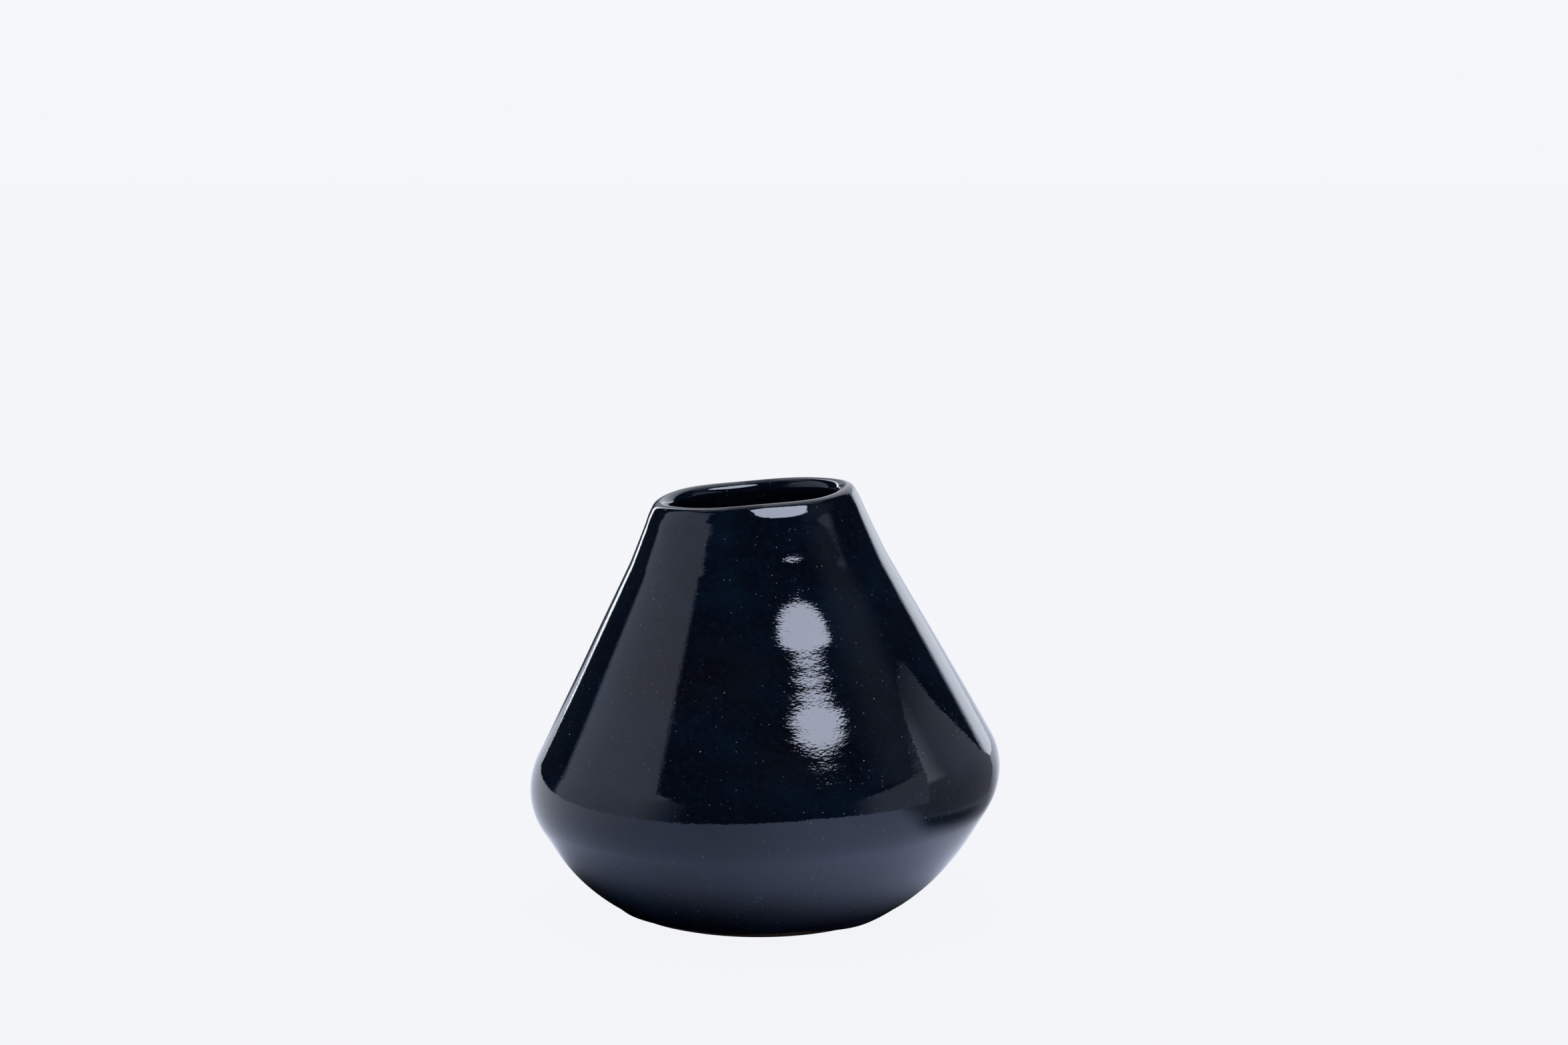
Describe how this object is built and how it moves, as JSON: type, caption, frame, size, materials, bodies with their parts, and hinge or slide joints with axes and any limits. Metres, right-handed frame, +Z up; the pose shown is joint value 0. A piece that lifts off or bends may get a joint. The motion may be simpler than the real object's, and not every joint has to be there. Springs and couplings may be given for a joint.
{
  "type": "bottle vase",
  "caption": "Small leaning stoneware bottle vase: flat foot, wide low keel, long cone shoulder and a narrow round mouth with a rolled lip.",
  "frame": {"origin": "middle of the outline seen from above, on the plane the foot stands on", "axes": "+Z up, out of the mouth; +X towards the side where the lip and keel stand higher; -Y is the front"},
  "size_m": [0.1198, 0.12, 0.1093],
  "materials": {
    "clay": "unglazed, trimmed, dark brown stoneware",
    "midnight_glaze": "high gloss, blue-black, faintly mottled",
    "liner_glaze": "gloss, black-brown"
  },
  "bodies": {
    "root": {"clay_body": "clay", "outer_glaze": "midnight_glaze", "inner_glaze": "liner_glaze"}
  },
  "joints": []
}
